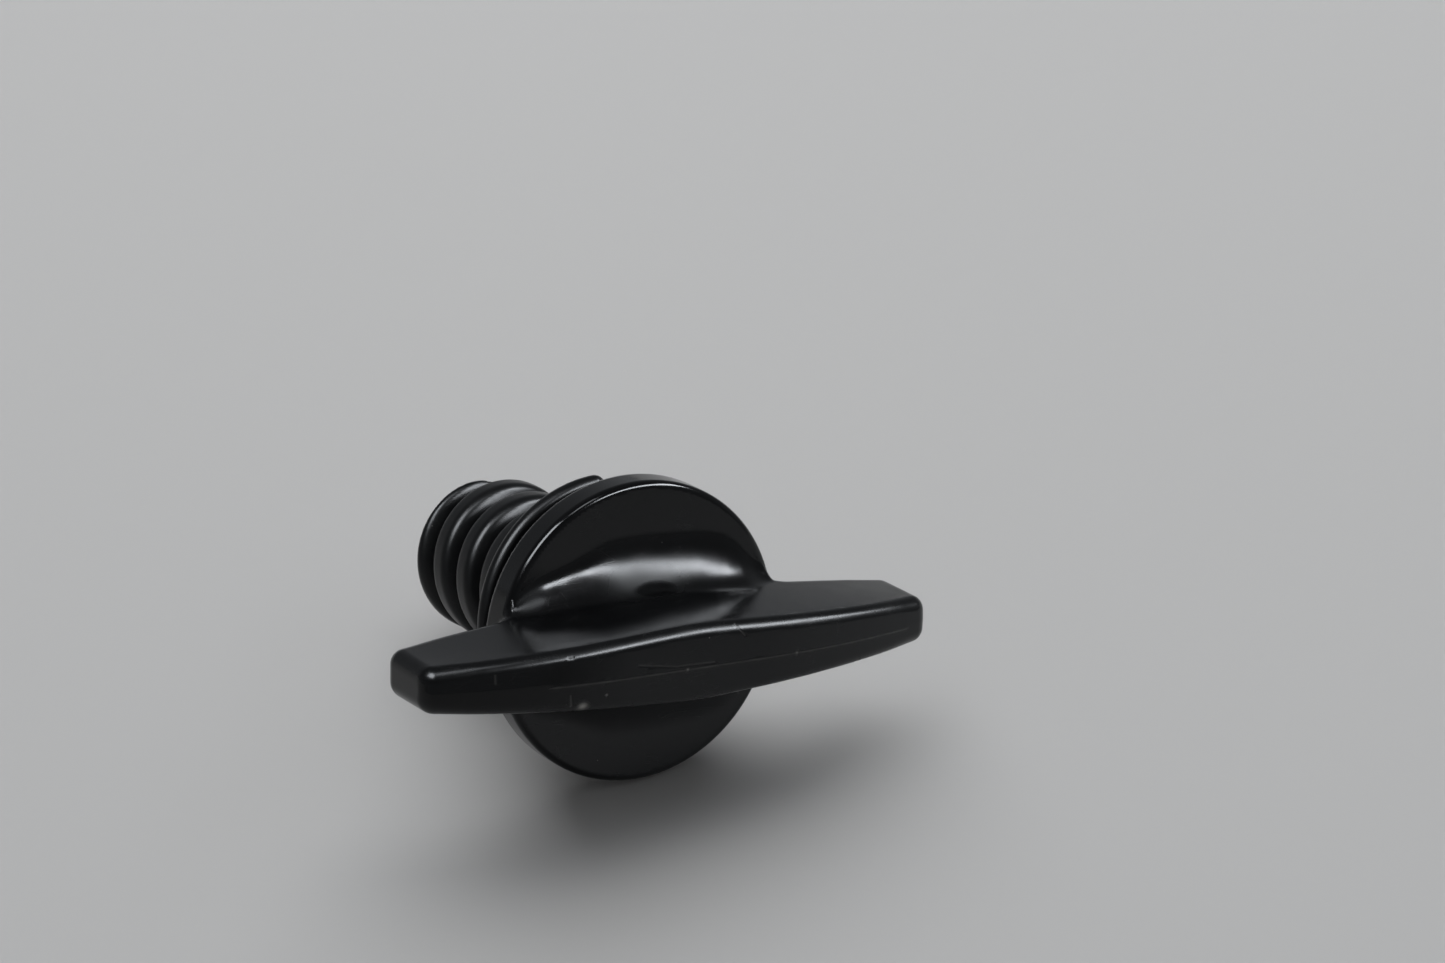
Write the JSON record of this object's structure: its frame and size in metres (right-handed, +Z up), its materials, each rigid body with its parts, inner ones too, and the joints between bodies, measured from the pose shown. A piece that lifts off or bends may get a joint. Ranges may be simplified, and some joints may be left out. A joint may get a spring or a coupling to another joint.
{
  "type": "screw plug",
  "caption": "Black moulded plastic screw plug with a round head, a winged T grip, a helical lip behind the head and a coarse rounded right-hand thread.",
  "frame": {"origin": "middle of the footprint of the plug as it lies, on the surface that it rests on", "axes": "+Z up, +X along the tips of the grip, -Y from the thread towards the grip as the plug lies on its head's rim and its last thread crest"},
  "size_m": [0.0546, 0.0455, 0.0297],
  "materials": {
    "plug_plastic": "near-black moulded plastic, glossy on the head and grip, satin on the thread, with fine handling scratches"
  },
  "bodies": {
    "root": {"screw_plug": "plug_plastic"}
  },
  "joints": []
}
